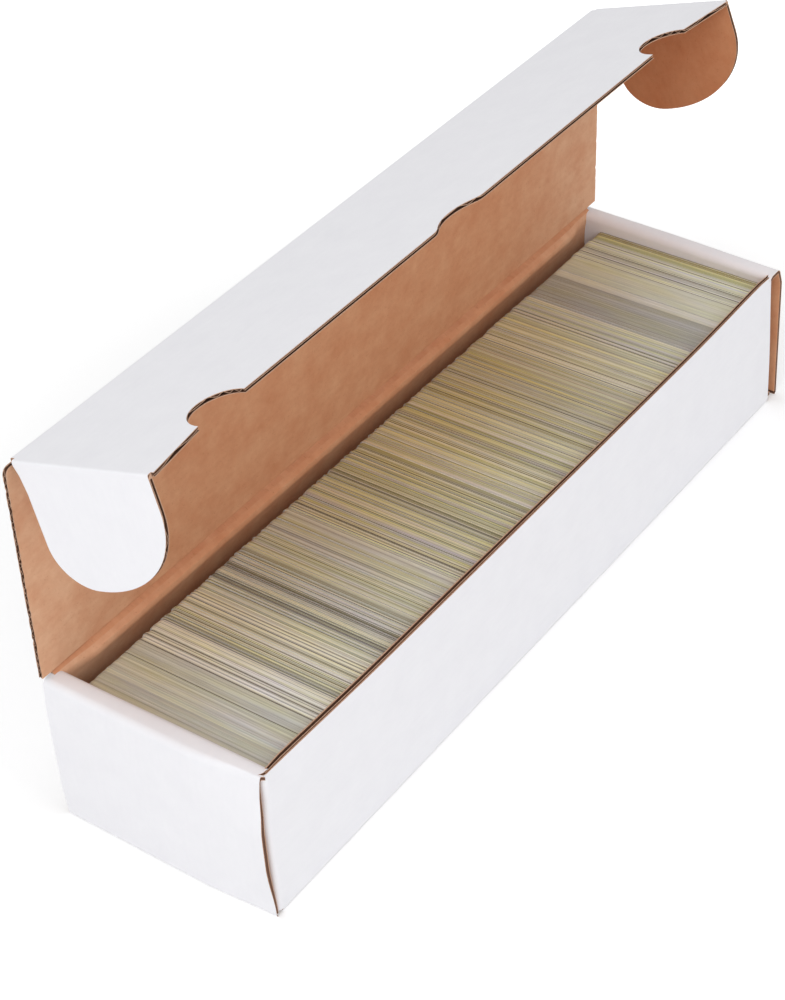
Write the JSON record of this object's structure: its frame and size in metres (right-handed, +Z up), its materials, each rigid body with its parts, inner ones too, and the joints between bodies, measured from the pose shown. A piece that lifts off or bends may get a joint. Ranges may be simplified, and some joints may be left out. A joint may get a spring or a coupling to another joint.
{
  "type": "hinged-lid trading card storage box",
  "caption": "Long folding corrugated box for trading cards, with rolled-over end walls, a hinged lid and an eared front flap, full of upright cards.",
  "frame": {"origin": "centre of the tray's underside", "axes": "+X along the box, -Y towards the front wall, +Z up"},
  "size_m": [0.388, 0.102, 0.1978],
  "materials": {
    "white_board": "matt white liner outside, kraft liner inside",
    "card_edges": "cut edges of coated cards"
  },
  "bodies": {
    "tray": {"floor_panel": "white_board", "front_wall": "white_board", "back_wall": "white_board", "left_end_outer": "white_board", "left_end_roll": "white_board", "left_end_inner": "white_board", "right_end_outer": "white_board", "right_end_roll": "white_board", "right_end_inner": "white_board", "front_left_corner_flap": "white_board", "front_right_corner_flap": "white_board", "back_left_corner_flap": "white_board", "back_right_corner_flap": "white_board"},
    "lid": {"lid_crease": "white_board", "lid_top": "white_board"},
    "front_flap": {"flap_crease": "white_board", "lid_front_flap": "white_board", "left_ear_crease": "white_board", "right_ear_crease": "white_board"},
    "left_ear": {"left_ear": "white_board"},
    "right_ear": {"right_ear": "white_board"},
    "cards_01": {"card_bundle_01": "card_edges"},
    "cards_02": {"card_bundle_02": "card_edges"},
    "cards_03": {"card_bundle_03": "card_edges"},
    "cards_04": {"card_bundle_04": "card_edges"},
    "cards_05": {"card_bundle_05": "card_edges"},
    "cards_06": {"card_bundle_06": "card_edges"},
    "cards_07": {"card_bundle_07": "card_edges"},
    "cards_08": {"card_bundle_08": "card_edges"},
    "cards_09": {"card_bundle_09": "card_edges"},
    "cards_10": {"card_bundle_10": "card_edges"}
  },
  "joints": [
    {"name": "lid_close", "type": "hinge", "parent": "tray", "child": "lid", "pos_m": [0, 0.0501, 0.0731], "axis": [1, 0, 0], "range_deg": [-27.5, 88.3]},
    {"name": "flap_fold", "type": "hinge", "parent": "lid", "child": "front_flap", "pos_m": [0, 0.04707, 0.17536], "axis": [1, 0, 0], "range_deg": [-70.7, 22]},
    {"name": "left_ear_fold", "type": "hinge", "parent": "front_flap", "child": "left_ear", "pos_m": [-0.1901, 0.04707, 0.17536], "axis": [0, -0.9527, 0.304], "range_deg": [-90, 1]},
    {"name": "right_ear_fold", "type": "hinge", "parent": "front_flap", "child": "right_ear", "pos_m": [0.1901, 0.04707, 0.17536], "axis": [0, 0.9527, -0.304], "range_deg": [-90, 1]},
    {"name": "cards_01_lift", "type": "slide", "parent": "tray", "child": "cards_01", "axis": [0, 0, -1], "range_m": [-0.07, 0]},
    {"name": "cards_02_lift", "type": "slide", "parent": "tray", "child": "cards_02", "axis": [0, 0, -1], "range_m": [-0.07, 0]},
    {"name": "cards_03_lift", "type": "slide", "parent": "tray", "child": "cards_03", "axis": [0, 0, -1], "range_m": [-0.07, 0]},
    {"name": "cards_04_lift", "type": "slide", "parent": "tray", "child": "cards_04", "axis": [0, 0, -1], "range_m": [-0.07, 0]},
    {"name": "cards_05_lift", "type": "slide", "parent": "tray", "child": "cards_05", "axis": [0, 0, -1], "range_m": [-0.07, 0]},
    {"name": "cards_06_lift", "type": "slide", "parent": "tray", "child": "cards_06", "axis": [0, 0, -1], "range_m": [-0.07, 0]},
    {"name": "cards_07_lift", "type": "slide", "parent": "tray", "child": "cards_07", "axis": [0, 0, -1], "range_m": [-0.07, 0]},
    {"name": "cards_08_lift", "type": "slide", "parent": "tray", "child": "cards_08", "axis": [0, 0, -1], "range_m": [-0.07, 0]},
    {"name": "cards_09_lift", "type": "slide", "parent": "tray", "child": "cards_09", "axis": [0, 0, -1], "range_m": [-0.07, 0]},
    {"name": "cards_10_lift", "type": "slide", "parent": "tray", "child": "cards_10", "axis": [0, 0, -1], "range_m": [-0.07, 0]}
  ],
  "couplings": [
    {"joint": "flap_fold", "follows": "lid_close", "ratio": -0.79955}
  ]
}
